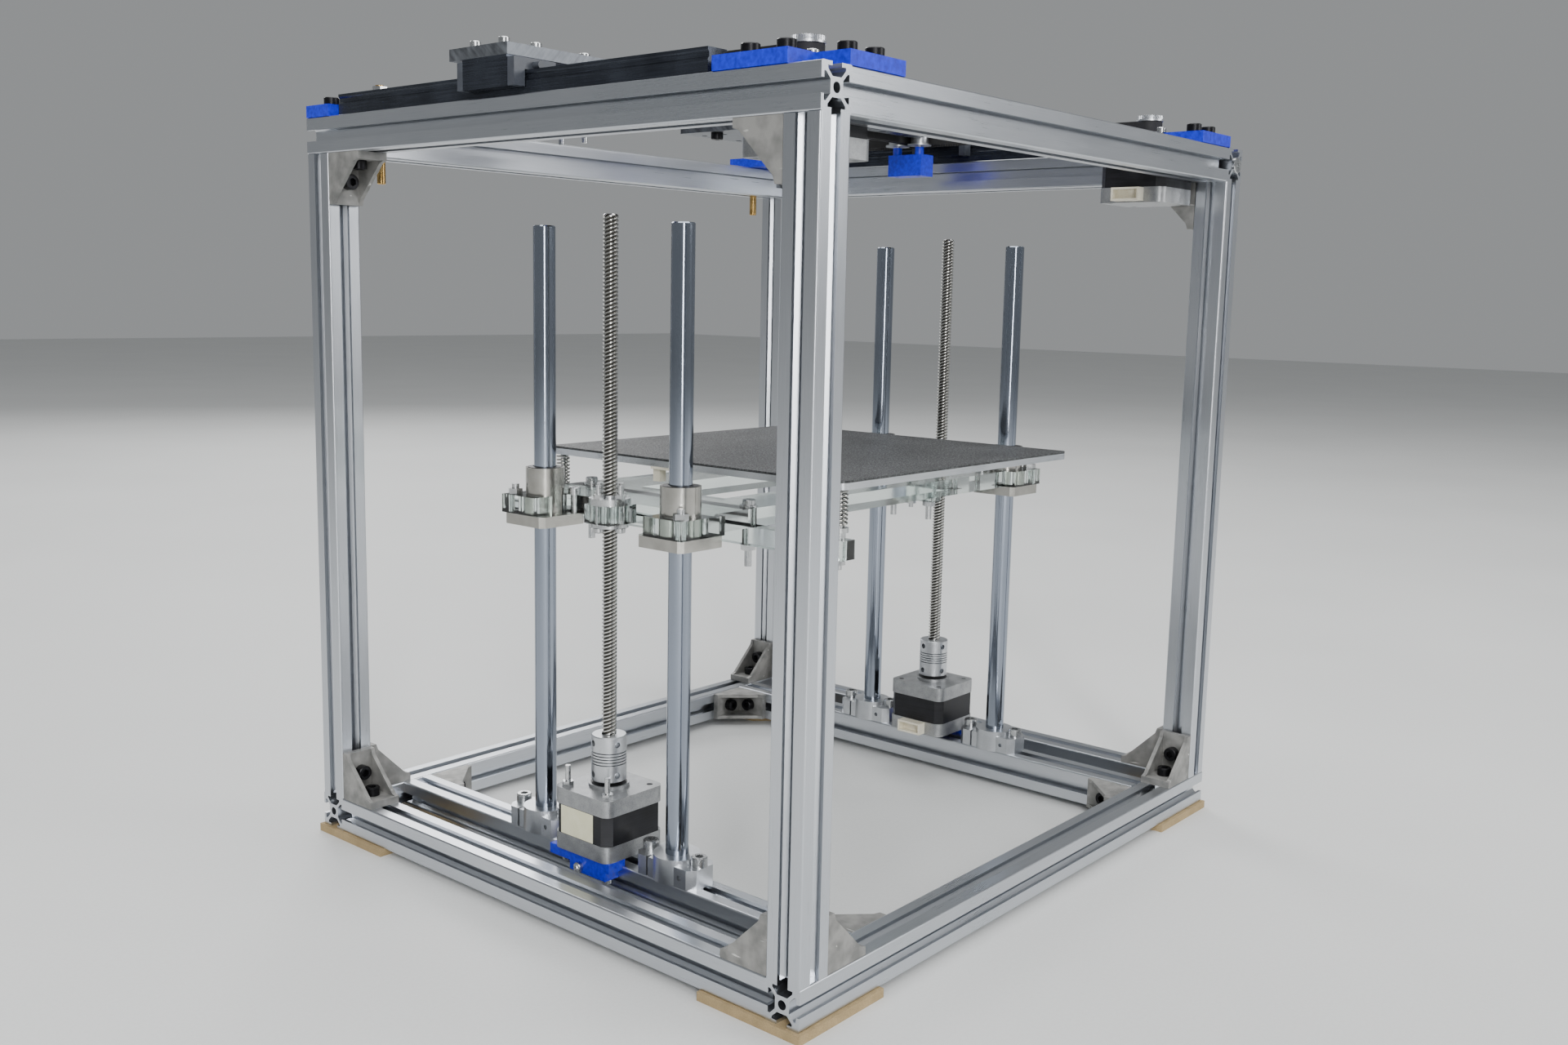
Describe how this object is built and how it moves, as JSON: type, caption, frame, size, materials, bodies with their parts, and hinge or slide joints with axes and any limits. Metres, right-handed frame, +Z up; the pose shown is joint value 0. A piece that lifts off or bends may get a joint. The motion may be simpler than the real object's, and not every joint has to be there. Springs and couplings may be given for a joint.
{
  "type": "fdm printer",
  "caption": "Open-frame desktop filament printer motion base: T-slot extrusion cube, belt-driven overhead gantry and a bed raised by lead screws on guide rods.",
  "frame": {"origin": "middle of the extrusion frame's footprint, on the floor", "axes": "+X to the right and +Y to the back seen from the motor side, +Z up"},
  "size_m": [0.417, 0.376, 0.4458],
  "materials": {
    "extrusion": "satin anodised",
    "cast_bracket": "matte die-cast alloy",
    "black_bolt": "black oxide",
    "zinc": "zinc plated",
    "blue_print": "layered print",
    "foot_board": "cut fibreboard",
    "rail_steel": "dark rail steel",
    "gantry_alloy": "milled",
    "motor_cap": "die-cast",
    "motor_stator": "black laminations",
    "socket": "moulded",
    "rod_chrome": "polished",
    "screw_steel": "turned",
    "coupler_alloy": "satin",
    "acrylic": "clear",
    "bearing_steel": "nickel plated",
    "bed_alloy": "satin",
    "sheet": "granular",
    "spring": "drawn",
    "belt": "ribbed",
    "brass": "turned",
    "black_plastic": "moulded"
  },
  "bodies": {
    "frame": {"corner_posts": "extrusion", "bottom_front_rear_beams": "extrusion", "bottom_side_beams": "extrusion", "drive_beams": "extrusion", "top_side_beams": "extrusion", "top_front_rear_beams": "extrusion", "foot_plates": "foot_board", "lower_corner_brackets": "cast_bracket", "upper_corner_brackets": "cast_bracket", "drive_beam_brackets": "cast_bracket", "frame_bolts": "black_bolt", "slot_nuts": "zinc", "y_rails": "rail_steel", "rail_screws": "zinc", "motor_plates": "blue_print", "idler_plates": "blue_print", "motor_end_caps": "motor_cap", "motor_stators": "motor_stator", "motor_sockets": "socket", "drive_screws": "zinc", "rod_supports": "coupler_alloy", "guide_rods": "rod_chrome", "drive_brackets": "blue_print", "side_belts": "belt", "rear_idler_bolts": "brass"},
    "bed_carriage": {"carriage_plate": "acrylic", "bed_arms": "acrylic", "linear_bearings": "bearing_steel", "lead_nuts": "brass", "carriage_bolts": "zinc", "spring_seats": "zinc", "bed_springs": "spring"},
    "bed": {"bed_plate": "bed_alloy", "build_sheet": "sheet", "bed_screws": "zinc", "levelling_nuts": "zinc", "bed_terminal": "socket"},
    "lead_drive_left": {"lead_screw_left": "screw_steel", "coupler_left": "coupler_alloy"},
    "lead_drive_right": {"lead_screw_right": "screw_steel", "coupler_right": "coupler_alloy"},
    "gantry": {"y_carriages": "rail_steel", "carriage_caps": "black_plastic", "gantry_plate": "gantry_alloy", "x_rail": "rail_steel", "gantry_screws": "zinc", "idler_blocks": "blue_print", "cross_belt": "belt"},
    "tool_carriage": {"x_carriage": "rail_steel", "tool_plate": "gantry_alloy", "tool_bolts": "black_bolt", "belt_clamps": "blue_print"},
    "drive_pulley_left": {"pulley_left": "coupler_alloy"},
    "drive_pulley_right": {"pulley_right": "coupler_alloy"},
    "rear_wheel_left": {"rear_idler_left": "bearing_steel"},
    "rear_wheel_right": {"rear_idler_right": "bearing_steel"},
    "gantry_wheel_front_left": {"gantry_idler_front_left": "bearing_steel"},
    "gantry_wheel_front_right": {"gantry_idler_front_right": "bearing_steel"},
    "gantry_wheel_rear_left": {"gantry_idler_rear_left": "bearing_steel"},
    "gantry_wheel_rear_right": {"gantry_idler_rear_right": "bearing_steel"}
  },
  "joints": [
    {"name": "bed_lift", "type": "slide", "parent": "frame", "child": "bed_carriage", "axis": [0, 0, 1], "range_m": [-0.095, 0.128]},
    {"name": "bed_levelling", "type": "slide", "parent": "bed_carriage", "child": "bed", "axis": [0, 0, 1], "range_m": [-0.006, 0], "stiffness_N_per_m": 8000, "springref_m": 0.004, "deforming": ["bed_springs"]},
    {"name": "gantry_travel", "type": "slide", "parent": "frame", "child": "gantry", "axis": [0, 1, 0], "range_m": [-0.115, 0.095]},
    {"name": "tool_travel", "type": "slide", "parent": "gantry", "child": "tool_carriage", "axis": [1, 0, 0], "range_m": [-0.087, 0.123]},
    {"name": "lead_screw_left_spin", "type": "hinge", "parent": "frame", "child": "lead_drive_left", "pos_m": [-0.152, -0.007, 0.2], "axis": [0, 0, 1], "continuous": true},
    {"name": "lead_screw_right_spin", "type": "hinge", "parent": "frame", "child": "lead_drive_right", "pos_m": [0.155, -0.007, 0.2], "axis": [0, 0, 1], "continuous": true},
    {"name": "pulley_left_spin", "type": "hinge", "parent": "frame", "child": "drive_pulley_left", "pos_m": [-0.1633, -0.1443, 0.43], "axis": [0, 0, 1], "continuous": true},
    {"name": "pulley_right_spin", "type": "hinge", "parent": "frame", "child": "drive_pulley_right", "pos_m": [0.1633, -0.1443, 0.43], "axis": [0, 0, 1], "continuous": true},
    {"name": "rear_idler_left_spin", "type": "hinge", "parent": "frame", "child": "rear_wheel_left", "pos_m": [-0.1633, 0.176, 0.43], "axis": [0, 0, 1], "continuous": true},
    {"name": "rear_idler_right_spin", "type": "hinge", "parent": "frame", "child": "rear_wheel_right", "pos_m": [0.1633, 0.176, 0.43], "axis": [0, 0, 1], "continuous": true},
    {"name": "gantry_idler_front_left_spin", "type": "hinge", "parent": "gantry", "child": "gantry_wheel_front_left", "pos_m": [-0.1496, 0.0155, 0.43], "axis": [0, 0, 1], "continuous": true},
    {"name": "gantry_idler_front_right_spin", "type": "hinge", "parent": "gantry", "child": "gantry_wheel_front_right", "pos_m": [0.1496, 0.0155, 0.43], "axis": [0, 0, 1], "continuous": true},
    {"name": "gantry_idler_rear_left_spin", "type": "hinge", "parent": "gantry", "child": "gantry_wheel_rear_left", "pos_m": [-0.1496, 0.0335, 0.43], "axis": [0, 0, 1], "continuous": true},
    {"name": "gantry_idler_rear_right_spin", "type": "hinge", "parent": "gantry", "child": "gantry_wheel_rear_right", "pos_m": [0.1496, 0.0335, 0.43], "axis": [0, 0, 1], "continuous": true}
  ],
  "couplings": [
    {"joint": "lead_screw_left_spin", "follows": "bed_lift", "rad_per_m": 785.4},
    {"joint": "lead_screw_right_spin", "follows": "bed_lift", "rad_per_m": 785.4},
    {"joint": "pulley_left_spin", "follows": "gantry_travel", "rad_per_m": 145.99},
    {"joint": "pulley_right_spin", "follows": "gantry_travel", "rad_per_m": -145.99},
    {"joint": "rear_idler_left_spin", "follows": "gantry_travel", "rad_per_m": 145.99},
    {"joint": "rear_idler_right_spin", "follows": "gantry_travel", "rad_per_m": -145.99},
    {"joint": "gantry_idler_front_left_spin", "follows": "tool_travel", "rad_per_m": -145.99},
    {"joint": "gantry_idler_front_right_spin", "follows": "tool_travel", "rad_per_m": -145.99},
    {"joint": "gantry_idler_rear_left_spin", "follows": "tool_travel", "rad_per_m": -145.99},
    {"joint": "gantry_idler_rear_right_spin", "follows": "tool_travel", "rad_per_m": -145.99}
  ]
}
